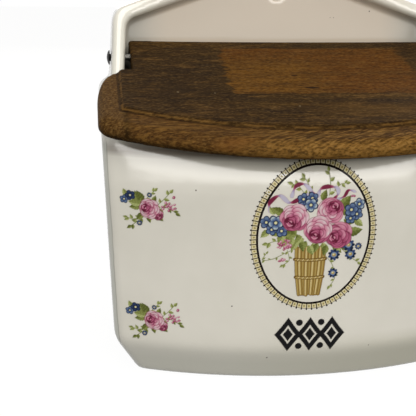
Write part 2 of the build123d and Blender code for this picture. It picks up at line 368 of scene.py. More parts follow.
def painted_shade_and_specks(tree, tone, spot, at, facing):
    """A tone with painted shade, a dark line and specks. Facing is X, Y and Z of the way the surface looks.
    """
    from_middle = add(tree, MATH, [at["X"]], operation="ABSOLUTE")
    by_the_arms = mask(tree, (from_middle, 52, 76), ease="SMOOTHSTEP")
    # painted shade on the panel towards the arms; the back keeps the plain ivory
    tone = lay(tree, tone, ("B2B2AA", 0.75, by_the_arms, (at["Y"], 43, 45.5)),
               ("DDD9CC", (facing["Y"], 0.5, 0.8)))  # the back

    winding = add(tree, NOISE, {"Vector": spot, "Scale": 1 / (14 * MM), "Detail": 2.0})
    crooked = add(tree, RANGE, {"Value": winding, "To Min": -0.09, "To Max": 0.09})
    sideways = add(tree, MATH, [facing["X"]], operation="ABSOLUTE")
    turned = add(tree, MATH, [sideways, crooked], operation="ADD")
    past_bend = add(tree, MATH, [turned, BEND], operation="SUBTRACT")
    off_bend = add(tree, MATH, [past_bend], operation="ABSOLUTE")
    side_wall = mask(tree, (at["Z"], 108, 106), (from_middle, 79, 81))
    # greyer painted shade on the side walls at the front corners, then a crooked dark line at the bend
    tone = lay(tree, tone, ("BFC3B8", 0.6, side_wall, (past_bend, 0.0, 0.03)),
               ("6E6C60", 0.5, side_wall, (off_bend, 0.045, 0.015), (facing["Y"], -0.2, -0.35)))

    # a black painted shade round each hinge hole, then the specks of iron
    aside, back, up = HINGE_SHADE
    dots = [((side * aside, back, up), 8.5, 4.0, "1E1B18", 0.93) for side in (-1, 1)]
    dots += [(centre, radius, radius / 2, "4A4038", 1.0) for centre, radius in SPECKS]
    in_mm = add(tree, VECTOR, {0: spot, 3: 1 / MM}, operation="SCALE")
    for centre, outer, inner, hex_colour, strength in dots:
        gap = add(tree, VECTOR, [in_mm, centre], operation="DISTANCE").outputs["Value"]
        tone = lay(tree, tone, (hex_colour, strength, (gap, outer, inner)))
    return tone


print("the painted shade lies round", HINGE_SHADE, "mm")

# %% [markdown]
# On the shader the body is matt clay, with no gloss of its own. The clear coat is the glaze. Its
# IOR is above the 1.5 of a plain clear glaze, as that of a hard, bright one is. The ink of a print
# lies between the two, so the same function makes the material of the prints.

# %% Glaze: the clear coat over it
def glaze_material(name, coat, printed):
    """The ivory body under a clear coat, with the ink of the transfer between them where it is printed."""
    material, tree = new_material(name)
    place = add(tree, "ShaderNodeTexCoord").outputs
    spot = place["Object"]
    in_mm = add(tree, VECTOR, {0: spot, 3: 1 / MM}, operation="SCALE")
    at = add(tree, "ShaderNodeSeparateXYZ", [in_mm]).outputs
    facing = add(tree, "ShaderNodeSeparateXYZ", [place["Normal"]]).outputs
    tone = body_colour(tree, spot, at)
    if printed:
        seen = add(tree, "ShaderNodeAttribute", attribute_name="ink").outputs["Color"]
        tone = add(tree, MIX, {"Factor": 1.0, 6: tone, 7: seen}, data_type="RGBA",
                   blend_type="MULTIPLY").outputs[2]
    tone = painted_shade_and_specks(tree, tone, spot, at, facing)

    wave = add(tree, NOISE, {"Vector": spot, "Scale": 1 / (25 * MM), "Detail": 1.5})
    peel = add(tree, NOISE, {"Vector": spot, "Scale": 1 / (2.5 * MM)})
    shallow = add(tree, "ShaderNodeBump", {"Height": wave, "Strength": 0.35, "Distance": 0.8 * MM})
    rippled = add(tree, "ShaderNodeBump", {"Height": peel, "Normal": shallow, "Strength": 0.12,
                                           "Distance": 0.05 * MM})
    glaze = add(tree, "ShaderNodeBsdfPrincipled", {
        "Base Color": tone, "Normal": shallow, "Roughness": 0.5, "IOR": 1.5, "Specular IOR Level": 0.0,
        "Coat Normal": rippled, "Coat Weight": coat, "Coat Roughness": 0.13, "Coat IOR": 1.76})
    add(tree, "ShaderNodeOutputMaterial", {"Surface": glaze})
    print(name, "has", len(tree.nodes), "nodes")
    return material


finish_piece(ceramic, glaze_material("clear_glazed_earthenware", coat=1.0, printed=False), BOX)
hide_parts("ceramic_body")

# %% [markdown]
# The pictures are transfer prints: inks printed on gummed paper, slid onto the ware and fired.
# They could be an image on the body, but here nothing is read from a file, so they are painted
# in code. A sheet of transfer paper is a fine grid of points. Each brush mark is a shape with a
# distance, negative inside, and lays its ink wherever that distance is below zero. The ink is
# stored as the share of light that it lets through, so bare paper is 1 and vanishes on the glaze.

# %% Transfer paper
BARE = "D2CDC0"
EDGE = 0.16  # mm, how softly a shape ends
INKED = 0.985  # a point that lets less light through than this is part of the print


class Paper:
    """Transfer paper: a grid of points in mm, each with the share of light its ink lets through."""

    def __init__(self, left, right, low, high, pitch):
        self.across = np.arange(left, right + pitch, pitch)
        self.up = np.arange(low, high + pitch, pitch)
        self.ink = np.ones((len(self.up), len(self.across), 3))

    def near(self, x, z, reach, turn=0.0):
        """The part of the grid around a point, with its coordinates from there, turned."""
        columns = slice(*np.searchsorted(self.across, (x - reach, x + reach)))
        rows = slice(*np.searchsorted(self.up, (z - reach, z + reach)))
        dx, dz = np.meshgrid(self.across[columns] - x, self.up[rows] - z)
        cos, sin = math.cos(turn), math.sin(turn)
        return (rows, columns), dx * cos + dz * sin, dz * cos - dx * sin

    def lay(self, window, distance, ink, strength=1.0):
        """Lay ink wherever the distance to a shape is below zero, with a soft edge."""
        cover = strength * np.clip(0.5 - distance / EDGE, 0, 1)[..., None]
        self.ink[window] += cover * (ink - self.ink[window])


def ink(hex_colour):
    """What an ink lets through, from the colour that it has on the glaze."""
    return np.minimum(np.array(linear(hex_colour)[:3]) / np.array(linear(BARE)[:3]), 1.0)


def shade(share, *inks):
    """A run of inks, one after the other, as the share goes from 0 to 1."""
    steps = np.linspace(0, 1, len(inks))
    return np.stack([np.interp(share, steps, [colour[c] for colour in inks]) for c in range(3)], axis=-1)


def try_out(paint, *settings):
    """Paint something once on a scrap of paper, to see that it works."""
    scrap = Paper(-12, 12, -12, 12, pitch=0.5)
    paint(scrap, *settings)
    print(paint.__name__, "inks", int((scrap.ink < INKED).any(axis=2).sum()), "points of the paper")


print("bare paper lets through", ink(BARE))


# %% Lines and brush marks
def beside(x, z, reach, angle):
    """The place at a reach from another, towards an angle."""
    return x + reach * math.cos(angle), z + reach * math.sin(angle)


def smooth_line(points, steps=10):
    """A Catmull-Rom line through a few points."""
    p = np.array([points[0], *points, points[-1]], float)
    t = np.linspace(0, 1, steps, endpoint=False)[:, None]
    runs = []
    for a, b, c, d in zip(p, p[1:], p[2:], p[3:]):
        bend, twist = 2 * a - 5 * b + 4 * c - d, 3 * b - a - 3 * c + d
        runs.append(0.5 * (2 * b + (c - a) * t + bend * t**2 + twist * t**3))
    return np.vstack([*runs, p[-1:]])


def along(paper, points, reach):
    """For the grid near a line: the distance to it, the side, and how far along the nearest place is."""
    line = smooth_line(points)
    middle = (line.min(0) + line.max(0)) / 2
    window, dx, dz = paper.near(*middle, np.ptp(line, axis=0).max() / 2 + reach)
    best, side, share = np.full(dx.shape, 1e9), np.zeros(dx.shape), np.zeros(dx.shape)
    for k, (a, b) in enumerate(zip(line - middle, line[1:] - middle)):
        run = b - a
        t = np.clip(((dx - a[0]) * run[0] + (dz - a[1]) * run[1]) / (run @ run + 1e-9), 0, 1)
        gap_x, gap_z = dx - a[0] - t * run[0], dz - a[1] - t * run[1]
        gap = np.hypot(gap_x, gap_z)
        closer = gap < best
        best = np.where(closer, gap, best)
        side = np.where(closer, np.sign(run[0] * gap_z - run[1] * gap_x) * gap, side)
        share = np.where(closer, (k + t) / (len(line) - 1), share)
    return window, best, side, share


def stroke(paper, points, width, colour, taper=0.6):
    """A brush stroke that is thickest in its middle."""
    window, gap, _, share = along(paper, points, width)
    half = width / 2 * (1 - taper * np.abs(2 * share - 1) ** 2)
    paper.lay(window, gap - half, colour)


def oval(paper, x, z, a, b, turn, colour, strength=1.0):
    """An oval spot, a and b from its middle to its edge along and across the turn."""
    window, u, v = paper.near(x, z, max(a, b) + EDGE, turn)
    paper.lay(window, (np.hypot(u / a, v / b) - 1) * min(a, b), colour, strength)


try_out(stroke, [(-6, 0), (0, 3), (6, 0)], 2.0, ink("0A090B"))
try_out(oval, 0, 0, 6, 3, 0.5, ink("0A090B"))

# %% [markdown]
# The flowers follow the china painter's habit: each is built from the back to the front, every
# petal pale at its lip and deep at its root, with a thread of shade on what lies beneath it. The
# little random turns are seeded, so that each flower comes out the same every time.

# %% The inks
ROSE = [ink(c) for c in ("5C162E", "883150", "B05C7A", "CA8A9C", "DEBEC2")]
BLUE = [ink(c) for c in ("15203A", "2C3E66", "6C809E", "C0CAD2")]
LEAF = [ink(c) for c in ("444A1A", "676E32", "8A9150", "ADB376")]
GOLD = [ink(c) for c in ("64491A", "8E7234", "A98F50", "C8B27A")]
LILAC = [ink(c) for c in ("6E1C38", "96425E", "9886A8", "B6B0C4")]
CREAM = ink("F0E2A0")
BLACK = ink("0A090B")
print("inks:", len(ROSE + BLUE + LEAF + GOLD + LILAC) + 2)


# %% Petals and roses
def petal(paper, x, z, a, b, turn, inks):
    """One petal: deep at its root, pale at its lip, and with its shade on what lies beneath."""
    window, u, v = paper.near(x, z, max(a, b) + 0.6, turn)
    gap = (np.hypot(u / a, v / b) - 1) * min(a, b)
    paper.lay(window, gap - 0.14, inks[0], 0.75)
    share = np.clip(0.5 + 0.55 * v / b + 0.06 * np.sin(7 * u / a), 0, 1)
    paper.lay(window, gap + 0.1, shade(share, *inks))


def rose(paper, x, z, radius, lean, seed, pale=0.5):
    """A cabbage rose, petal over petal from the outside in, around a deep cup that leans to one side."""
    rng = random.Random(seed)
    heart_x, heart_z = beside(x, z, 0.42 * radius, lean)
    rings = ((1.0, 6), (0.86, 5), (0.68, 4), (0.52, 4), (0.38, 3))
    for k, (share, count) in enumerate(rings):
        depth = k / len(rings)
        middle_x, middle_z = x + (heart_x - x) * depth, z + (heart_z - z) * depth
        first = rng.uniform(0, math.tau)
        order = list(range(count))
        rng.shuffle(order)
        for petal_number in order:
            angle = first + math.tau * petal_number / count + rng.uniform(-0.15, 0.15)
            reach = 0.5 * radius * share
            lit = pale - 0.35 * math.cos(angle - lean) + 0.15 * math.cos(angle - 2.1)
            start = 1 if lit > 0.3 and k < 3 else 0
            inks = ROSE[start : start + 4] if lit > 0.5 and k < 4 else ROSE[start : start + 3]
            petal(paper, *beside(middle_x, middle_z, reach, angle), reach * rng.uniform(0.95, 1.2),
                  reach * rng.uniform(0.85, 1.0), angle - math.pi / 2, inks)
    oval(paper, heart_x, heart_z, 0.42 * radius, 0.32 * radius, lean + math.pi / 2, ROSE[0])
    for k in range(6):
        bow = (0.34 - 0.05 * k) * radius
        tilt = lean + rng.uniform(-0.5, 0.5) + math.pi * (k % 2)
        points = [beside(heart_x, heart_z, bow, tilt + a) for a in (-1.0, 0, 1.0)]
        stroke(paper, points, 0.1 * radius, ROSE[1 + k % 3])


try_out(rose, 0, 0, 6.0, 0.5, 1)


# %% Small blue flowers and pink buds
def forget_me_not(paper, x, z, radius, turn, light=0):
    """Five round blue petals around a yellow eye. Light runs from -1, navy, to 1, pale."""
    blues = BLUE[1 + min(light, 0) : 3 + light]
    angles = [turn + math.tau * k / 5 for k in range(5)]
    for angle in angles:
        oval(paper, *beside(x, z, 0.58 * radius, angle), 0.56 * radius, 0.5 * radius, angle, BLUE[0])
    for angle in angles:
        centre = beside(x, z, 0.6 * radius, angle)
        petal(paper, *centre, 0.4 * radius, 0.36 * radius, angle - math.pi / 2, blues)
    oval(paper, x, z, 0.3 * radius, 0.3 * radius, 0, BLUE[0])
    oval(paper, x, z, 0.2 * radius, 0.2 * radius, 0, CREAM)


def daisy(paper, x, z, radius, count=9):
    """A small dark blue flower with a wide golden eye."""
    oval(paper, x, z, 0.8 * radius, 0.76 * radius, 0, BLUE[0])
    for k in range(count):
        angle = math.tau * k / count
        oval(paper, *beside(x, z, 0.68 * radius, angle), 0.38 * radius, 0.26 * radius, angle, BLUE[k % 2])
    oval(paper, x, z, 0.52 * radius, 0.48 * radius, 0, BLUE[2])
    oval(paper, x, z, 0.34 * radius, 0.3 * radius, 0, GOLD[2])
    oval(paper, x - 0.08 * radius, z + 0.08 * radius, 0.16 * radius, 0.14 * radius, 0, CREAM)


def buds(paper, x, z, spread, count, seed):
    """A loose head of tiny pink flowers."""
    rng = random.Random(seed)
    for k in range(count):
        angle, reach = rng.uniform(0, math.tau), spread * math.sqrt(rng.random())
        bx, bz = x + reach * math.cos(angle), z + 0.75 * reach * math.sin(angle)
        oval(paper, bx, bz, 0.62, 0.5, angle, ROSE[1 + k % 2])
        oval(paper, bx - 0.1, bz + 0.12, 0.34, 0.26, angle, ROSE[3 + k % 2])


try_out(forget_me_not, 0, 0, 3.0, 0.3)
try_out(daisy, 0, 0, 3.0)
try_out(buds, 0, 0, 3.0, 12, 1)


# %% Leaves and twigs
def leaf(paper, x, z, length, turn, plump=0.42, tone=1):
    """A toothed leaf from its stalk outwards, one half in the light."""
    window, u, v = paper.near(*beside(x, z, length / 2, turn), 0.6 * length, turn)
    t = np.clip(u / length + 0.5, 0, 1)
    tooth = 0.88 + 0.12 * np.abs(np.sin(4.5 * math.pi * t))
    half = plump * length * np.sin(math.pi * t**0.75) * tooth * 0.75
    side = np.clip(0.5 + 1.2 * v / (half + 0.05), 0, 1)
    veins = 0.12 * np.sin(9 * math.pi * (t - 0.6 * np.abs(v) / length))
    share = np.clip(0.25 + 0.55 * side + veins, 0, 1)
    outline = np.maximum(np.abs(v) - half, np.abs(u) - length / 2)
    paper.lay(window, outline, shade(share, *LEAF[tone - 1 : tone + 2]))
    stroke(paper, [(x, z), beside(x, z, length, turn)], 0.12, LEAF[0])


def twig(paper, points, leaf_length, seed, tone=2):
    """A thin stalk with small leaves to both sides and one at its tip."""
    rng = random.Random(seed)
    stroke(paper, points, 0.28, LEAF[1], taper=0.3)
    line = smooth_line(points)
    for k in range(2, len(line) - 1, 5):
        run = line[k + 1] - line[k]
        heading = math.atan2(run[1], run[0])
        side = 1 if (k // 5) % 2 else -1
        length, spread = leaf_length * rng.uniform(0.8, 1.1), rng.uniform(0.7, 1.1)
        leaf(paper, *line[k], length, heading + side * spread, tone=tone)
    run = line[-1] - line[-2]
    leaf(paper, *line[-1], leaf_length, math.atan2(run[1], run[0]), tone=tone)


try_out(twig, [(-6, -2), (0, 1), (6, 0)], 2.5, 1)


# %% Ribbon and basket
def ribbon(paper, points, width, turns):
    """A silk ribbon that twists as it runs, so that it narrows and shows its deep side by turns."""
    window, gap, side, share = along(paper, points, width)
    twist = np.cos(turns * math.pi * share)
    half = width / 2 * (0.35 + 0.65 * np.abs(twist)) * np.minimum(1, 6 * (1 - share) + 0.3)
    tone = np.clip(0.5 + 0.75 * twist + 0.25 * side / width, 0, 1)
    paper.lay(window, gap - half - 0.1, LILAC[1], 0.6)
    paper.lay(window, gap - half, shade(tone, *LILAC))


def basket(paper, x, foot, height, foot_half, mouth_half, seed):
    """A tall wicker basket: upright canes held by two wrapped hoops."""
    rng = random.Random(seed)
    canes, wraps = 9, 13
    width = 2.3 * (foot_half + mouth_half) / 2 / canes
    for k in list(range(0, canes, 2)) + list(range(1, canes, 2)):
        place = 2 * k / (canes - 1) - 1
        low, high = foot + rng.uniform(-0.5, 0.5), foot + height
        half_way_up = 0.97 * (foot_half + mouth_half) / 2
        points = [(x + place * (foot_half - 0.6), low), (x + place * half_way_up, (low + high) / 2),
                  (x + place * (mouth_half - 0.6), high)]
        stroke(paper, points, width + 0.35, GOLD[0], taper=0.1)
        stroke(paper, points, width, GOLD[1], taper=0.15)
        lit = [(px - 0.18 * width, pz) for px, pz in points]
        stroke(paper, lit, 0.5 * width, GOLD[2 + k % 2], taper=0.3)
    for level in (0.36, 0.74):
        half = foot_half + (mouth_half - foot_half) * level + 0.5
        z = foot + level * height
        stroke(paper, [(x - half, z + 0.25), (x, z - 0.25), (x + half, z + 0.25)], 1.5, GOLD[0], taper=0)
        for k in range(wraps):
            wx = x - half + 2 * half * (k + 0.5) / wraps
            dip = 0.25 - 0.5 * (1 - ((wx - x) / half) ** 2)
            oval(paper, wx, z + dip, 0.62, 0.3, 0.5, GOLD[2 + k % 2])


try_out(ribbon, [(-9, 0), (-3, 3), (3, -3), (9, 0)], 1.8, 3)
try_out(basket, 0, -10, 20, 5, 7, 1)

# %% [markdown]
# The drawing in the oval is the old one of a tall wicker basket with roses, forget-me-nots and a
# silk ribbon, here in an arrangement of its own. Places are in millimetres across the front and
# up from the foot of the box. Small sprays of the same flowers stand in the corners of the front.

# %% The basket of roses
def paint_basket_of_roses(paper):
    """Stalks first, then ribbon, basket, leaves and flowers, each over the one before."""
    for points, length, seed in (
        ([(-5, 66), (-12, 63), (-18, 60), (-22.5, 59.5), (-21, 62.3)], 1.5, 1),
        ([(5, 88), (5.5, 93), (5, 98)], 2.4, 2), ([(-5, 88), (-8, 92), (-10.5, 93)], 2.6, 3),
        ([(-3, 90), (-4, 93), (-5.5, 95.5)], 2.4, 4), ([(7, 90), (10, 92.6), (12.3, 93)], 2.2, 5),
        ([(10, 66), (15, 61), (19.5, 57.5)], 2.2, 6), ([(4, 62), (8, 57), (9.5, 51), (7.5, 47.2)], 2.1, 7),
        ([(-10, 66), (-16, 68), (-20.5, 67)], 2.6, 8), ([(-12, 64), (-11, 59.5), (-13.5, 57.3)], 1.9, 9)):
        twig(paper, points, length, seed)
    for points, width, turns in (
        ([(-19.8, 81.5), (-20.3, 85), (-16.2, 88.2), (-12, 85.2), (-8, 86.5), (-4, 89)], 1.9, 4),
        ([(-11, 88), (-9.5, 92), (-6, 93), (-3, 90.5), (-1, 88)], 1.7, 3),
        ([(0, 88), (1.5, 91), (5, 91.8), (8.4, 91), (8.8, 88.5), (6.5, 86)], 1.8, 3),
        ([(8, 86), (11.5, 87.4), (13.5, 90), (16.8, 89.2)], 1.4, 2)):
        ribbon(paper, points, width, turns)
    basket(paper, x=-1.9, foot=43.6, height=21.5, foot_half=4.9, mouth_half=6.7, seed=11)
    for x, z, length, turn, tone in (
        (-14, 80, 6, 2.6, 1), (-13, 74, 7, 3.7, 1), (-9, 74, 7.5, 4.2, 1), (-5, 69, 6, 3.6, 2),
        (-4, 68, 4.5, 4.3, 1), (-1, 67, 4.5, 4.9, 2), (1, 67, 4.5, 4.4, 1), (3, 67, 4.5, 5.2, 2),
        (5, 66, 5, 4.5, 1), (8, 66, 5.5, 5.5, 1), (11, 66, 6, 5.9, 1), (14, 71, 7, 0.2, 1),
        (10, 82, 7.5, 0.9, 1), (11, 80, 7, 0.3, 1), (12, 77, 6, 6.1, 1), (-20, 73, 5, 3.9, 2),
        (-18, 80, 4, 2.2, 2), (2, 86, 5, 1.2, 1), (-9, 71, 7, 2.9, 1), (-12, 69, 5.5, 3.9, 2),
        (-6, 68, 5, 4.9, 1), (-8, 68, 5, 4.2, 2), (-1, 86, 5, 2.2, 1), (10, 66, 5, 4.6, 2),
        (17, 77, 5, 5.6, 2), (-14, 72, 6, 4.4, 2), (-3, 66, 5, 5.2, 2), (-10, 70, 5, 4.5, 2),
        (-8, 71, 5, 5.1, 1), (-6, 70, 4.5, 4.0, 2)):
        leaf(paper, x, z, length, turn, tone=tone)
    for x, z, radius, turn, light in (
        (-21.4, 76.4, 2.6, 0.3, 0), (-14.8, 72.6, 2.6, 0.5, 0), (-19.0, 73.2, 2.4, 1.2, 0),
        (-17.4, 76.2, 3.2, 0.9, 1), (-6.0, 86.6, 2.5, 0.2, 0), (-2.2, 87.0, 2.5, 0.6, 0),
        (-5.6, 83.2, 2.4, 1.1, 0), (-2.7, 84.0, 2.9, 1.0, 1), (18.6, 83.8, 2.5, 0.5, 1),
        (17.8, 79.4, 2.5, 0.9, 0), (15.0, 77.6, 2.3, 0.3, 0), (15.2, 81.4, 2.9, 0.1, 0)):
        forget_me_not(paper, x, z, radius, turn, light)
    for x, z, radius in (
        (8.6, 61.4, 2.6), (14.9, 65.6, 2.7), (16.0, 61.4, 2.5), (19.4, 64.8, 1.6), (8.6, 53.1, 2.2)):
        daisy(paper, x, z, radius)
    for x, z, spread, count, seed in (
        (-13.6, 66.4, 3.2, 30, 21), (-14.3, 59.6, 1.2, 7, 22), (15.5, 87.7, 0.7, 3, 23)):
        buds(paper, x, z, spread, count, seed)
    for x, z, radius, lean, seed, pale in (
        (-9.4, 78.4, 6.5, -2.3, 31, 0.5), (5.9, 81.2, 6.3, 0.9, 32, 0.46),
        (10.2, 70.4, 6.3, -2.6, 33, 0.05), (1.0, 72.8, 6.5, -2.1, 34, 0.5)):
        rose(paper, x, z, radius, lean, seed, pale)


# %% The spray
def paint_spray(paper, x, z):
    """A small rose with forget-me-nots and buds around one place."""
    for points, length, seed, tone in (
        ([(-2, -2), (-5, -5.5), (-8, -8)], 2.5, 41, 1), ([(-4, -4), (-7, -5), (-9.5, -4.6)], 2.2, 42, 2),
        ([(2, 1), (5, 4), (8, 7.5)], 2.4, 43, 2), ([(3, 0), (7, 1), (10.5, -1)], 2.5, 44, 1),
        ([(-2, 4), (0, 6.5), (1.5, 8)], 2.2, 45, 2)):
        twig(paper, [(x + dx, z + dz) for dx, dz in points], length, seed, tone=tone)
    for dx, dz, length, turn, tone in (
        (-3, 2, 6.4, 2.6, 1), (-3, 3, 5.6, 2.1, 1), (-4, 1, 5.0, 3.3, 1), (-10, 5, 3.6, 2.0, 2),
        (-1, -3, 3.4, 5.0, 1), (-3, -2, 4.4, 4.0, 1), (1, 3, 3.4, 1.2, 1), (3, -3, 3.2, 5.6, 1),
        (-5, 3, 5.0, 1.9, 1), (-4, 2, 5.4, 3.0, 2)):
        leaf(paper, x + dx, z + dz, length, turn, tone=tone)
    forget_me_not(paper, x - 11.0, z + 3.6, 1.75, 0.2, 0)
    forget_me_not(paper, x - 8.5, z + 5.5, 2.05, 0.7, -1)
    daisy(paper, x - 0.4, z + 6.2, 1.1)
    daisy(paper, x - 4.6, z - 6.6, 1.2)
    buds(paper, x + 7.6, z + 1.4, 2.9, 18, 46)
    buds(paper, x + 10.2, z + 5.6, 0.9, 3, 47)
    rose(paper, x + 3.0, z - 2.2, 2.6, 5.2, 51, 0.45)
    rose(paper, x - 0.4, z + 0.1, 4.6, 3.0, 52, 0.8)


try_out(paint_spray, 0, 0)

# %% [markdown]
# Below the oval stands a row of three bold black lozenges with dots between them, a plain
# printer's ornament. They are painted on the same paper, by the distance to a lozenge with
# slightly hollow sides.

# %% The lozenges
HOLLOW = 0.94  # 1 is a lozenge with straight sides, less draws them in
CLEAR = np.ones(3)  # the ink that is no ink


def lozenge(paper, x, z, half_width, half_height, colour):
    """A diamond whose sides are a little hollow."""
    window, u, v = paper.near(x, z, half_height + EDGE)
    size = (np.abs(u / half_width) ** HOLLOW + np.abs(v / half_height) ** HOLLOW) ** (1 / HOLLOW)
    paper.lay(window, (size - 1) * 0.7 * half_width, colour)


def paint_lozenges(paper, x, z, spacing=9.8):
    """Three lozenges in a row, each with a clear line in it, and dots above and below their meetings."""
    for place in (-spacing, 0, spacing):
        for half_width, half_height, colour in ((6.1, 8.2, BLACK), (3.3, 4.5, CLEAR), (2.3, 3.2, BLACK)):
            lozenge(paper, x + place, z, half_width, half_height, colour)
    for place in (-spacing / 2, spacing / 2):
        for side in (-1, 1):
            oval(paper, x + place, z + 5.6 * side, 1.5, 1.5, 0, BLACK)


try_out(paint_lozenges, 0, 0)

# %% [markdown]
# A print has to lie on the bowed front. Each inked cell of the paper becomes a small face, flat
# and in front of the box, and a Geometry Nodes tree slides it onto the ware: Raycast looks from
# every point straight towards the wall, and Set Position puts the point on the glaze, a few
# hundredths of a millimetre proud.

# %% Geometry Nodes: to build, close and run a tree
def node_tree(name, **sockets):
    """A Geometry Nodes tree with a geometry in and out, and named inputs of the given kinds."""
    tree = bpy.data.node_groups.new(name, "GeometryNodeTree")
    tree.interface.new_socket("Geometry", in_out="INPUT", socket_type="NodeSocketGeometry")
    for label, kind in sockets.items():
        tree.interface.new_socket(label, in_out="INPUT", socket_type="NodeSocket" + kind)
    tree.interface.new_socket("Geometry", in_out="OUTPUT", socket_type="NodeSocketGeometry")
    return tree, add(tree, "NodeGroupInput").outputs


def end_tree(tree, geometry, material):
    """Close a tree with Realize Instances and Set Material."""
    real = add(tree, "GeometryNodeRealizeInstances", {"Geometry": geometry})
    dressed = add(tree, "GeometryNodeSetMaterial", {"Geometry": real, "Material": material})
    add(tree, "NodeGroupOutput", {"Geometry": dressed})
    print(tree.name, "has", len(tree.nodes), "nodes")


def run_tree(piece, tree, **values):
    """Set a tree's inputs by the identifiers of their sockets, run it and keep the plain mesh."""
    modifier = piece.modifiers.new(tree.name, "NODES")
    modifier.node_group = tree
    sockets = {item.name: item.identifier for item in tree.interface.items_tree if item.in_out == "INPUT"}
    for label, value in values.items():
        modifier[sockets[label]] = value
    bake_modifiers(piece)


# %% Geometry Nodes: slide a print onto the glaze
INK_LAYER = 0.02 * MM  # the thickness of one layer of ink


def slide_onto_glaze(tree, geometry, target, lift):
    """Nodes that move every point straight back onto the target, then lift it by its layer of ink."""
    ware = add(tree, "GeometryNodeObjectInfo", {"Object": target}, transform_space="RELATIVE")
    meet = add(tree, "GeometryNodeRaycast", {"Target Geometry": ware.outputs["Geometry"],
                                             "Ray Direction": (0.0, 1.0, 0.0), "Ray Length": 1.0}).outputs
    layer = add(tree, "GeometryNodeInputNamedAttribute", {"Name": "layer"}, data_type="FLOAT")
    count = add(tree, MATH, [layer.outputs["Attribute"], 1.0], operation="ADD")
    height = add(tree, MATH, [count, lift], operation="MULTIPLY")
    outward = add(tree, VECTOR, {0: meet["Hit Normal"], 3: height}, operation="SCALE")
    place = add(tree, VECTOR, [meet["Hit Position"], outward])
    return add(tree, "GeometryNodeSetPosition", {"Geometry": geometry, "Position": place})


print_glaze = glaze_material("transfer_print_on_glaze", coat=0.12, printed=True)
slide_tree, given = node_tree("slide_print", Ware="Object", Layer="Float")
slid = slide_onto_glaze(slide_tree, given["Geometry"], given["Ware"], given["Layer"])
end_tree(slide_tree, slid, print_glaze)

# %% From painted paper to a print on the box
IN_FRONT = -200 * MM  # clear of the bow
PITCH = 0.2  # mm, finer than the dots of a printed transfer


def fire(name, paper):
    """Make a print of the inked cells of a paper and slide it onto the box."""
    rows, columns = paper.ink.shape[:2]
    inked = (paper.ink < INKED).any(axis=2)
    row, column = np.nonzero(inked[:-1, :-1] | inked[1:, :-1] | inked[:-1, 1:] | inked[1:, 1:])
    corner = row * columns + column
    faces = np.stack([corner, corner + 1, corner + columns + 1, corner + columns], axis=1)
    used, faces = np.unique(faces, return_inverse=True)
    points = np.stack([np.tile(paper.across, rows)[used] * MM, np.full(len(used), IN_FRONT),
                       np.repeat(paper.up, columns)[used] * MM], axis=1)
    mesh = bpy.data.meshes.new(name)
    mesh.from_pydata(points.tolist(), [], faces.reshape(-1, 4).tolist())
    seen = mesh.attributes.new("ink", "FLOAT_COLOR", "POINT")
    seen.data.foreach_set("color", np.c_[paper.ink.reshape(-1, 3)[used], np.ones(len(used))].ravel())
    mesh.shade_smooth()
    piece = new_object(name, mesh)
    run_tree(piece, slide_tree, Ware=ceramic, Layer=INK_LAYER)
    finish_piece(piece, print_glaze, BOX)
    print(name, "has", len(piece.data.polygons), "faces")


# %% Paint and fire the pictures
picture = Paper(-27, 26, 38, 102, PITCH)
paint_basket_of_roses(picture)
fire("print_basket_of_roses", picture)

ornament = Paper(-19, 19, 14, 36, PITCH)
paint_lozenges(ornament, -0.3, 24.6)
fire("print_lozenges", ornament)

SPRAYS = {"upper_left": (-69.7, 80.2), "lower_left": (-67.7, 28.8),
          "upper_right": (70.5, 80.2), "lower_right": (68.5, 28.8)}
for corner_name, (x, z) in SPRAYS.items():
    paper = Paper(x - 14, x + 14, z - 12, z + 11, PITCH)
    paint_spray(paper, x, z)
    fire("print_spray_" + corner_name, paper)

# %% [markdown]
# The oval frame is a rule: one small cell, a cream block with a black bar and a bead, again and
# again along an ellipse. Geometry Nodes suit it exactly. Resample Curve spaces the points evenly
# by length, Instance on Points turns a cell to the curve at each, and the same Raycast nodes
# as above lay the whole ring on the bow.

# %% One cell of the ring
RING_HALF_WIDTH, RING_HALF_HEIGHT = 24.7, 30.9  # mm, at the black inner line
RING_CELLS = 86
RING_ROUND = 2 * math.pi * math.sqrt((RING_HALF_WIDTH**2 + RING_HALF_HEIGHT**2) / 2)
BEAD_OUT, BEAD = 2.75, 0.36  # mm, how far out a bead lies, and its radius


def ring_cell():
    """One cell, flat in its own X and Z: X runs along the ring and Z outwards."""
    half = RING_ROUND / RING_CELLS / 2
    black = "1A1210"
    blocks = ((0, 1.08 * half, -0.6, 0.34, black, 2), (0, 0.9 * half, 0.24, 2.35, "D0C49C", 0),
              (0, 0.34 * half, 0.85, 1.7, "9E8E50", 1), (half, 0.19, 0.2, 2.6, black, 2),
              (0, 1.1 * half, 2.3, 2.5, "4A3C2C", 1))
    parts = [([(x - w, low), (x + w, low), (x + w, high), (x - w, high)], colour, layer)
             for x, w, low, high, colour, layer in blocks]
    angles = np.linspace(0, math.tau, 8, endpoint=False)
    parts.append(([beside(half, BEAD_OUT, BEAD, a) for a in angles], black, 3))
    points, faces, inks, layers = [], [], [], []
    for outline, colour, layer in parts:
        faces.append(list(range(len(points), len(points) + len(outline))))
        points += [(x * MM, 0, z * MM) for x, z in outline]
        inks += [(*ink(colour), 1.0)] * len(outline)
        layers += [float(layer)] * len(outline)
    mesh = bpy.data.meshes.new("ring_cell")
    mesh.from_pydata(points, [], faces)
    mesh.attributes.new("ink", "FLOAT_COLOR", "POINT").data.foreach_set("color", np.ravel(inks))
    mesh.attributes.new("layer", "FLOAT", "POINT").data.foreach_set("value", layers)
    return bpy.data.objects.new("ring_cell", mesh)


print("the ring is", round(RING_ROUND), "mm round")

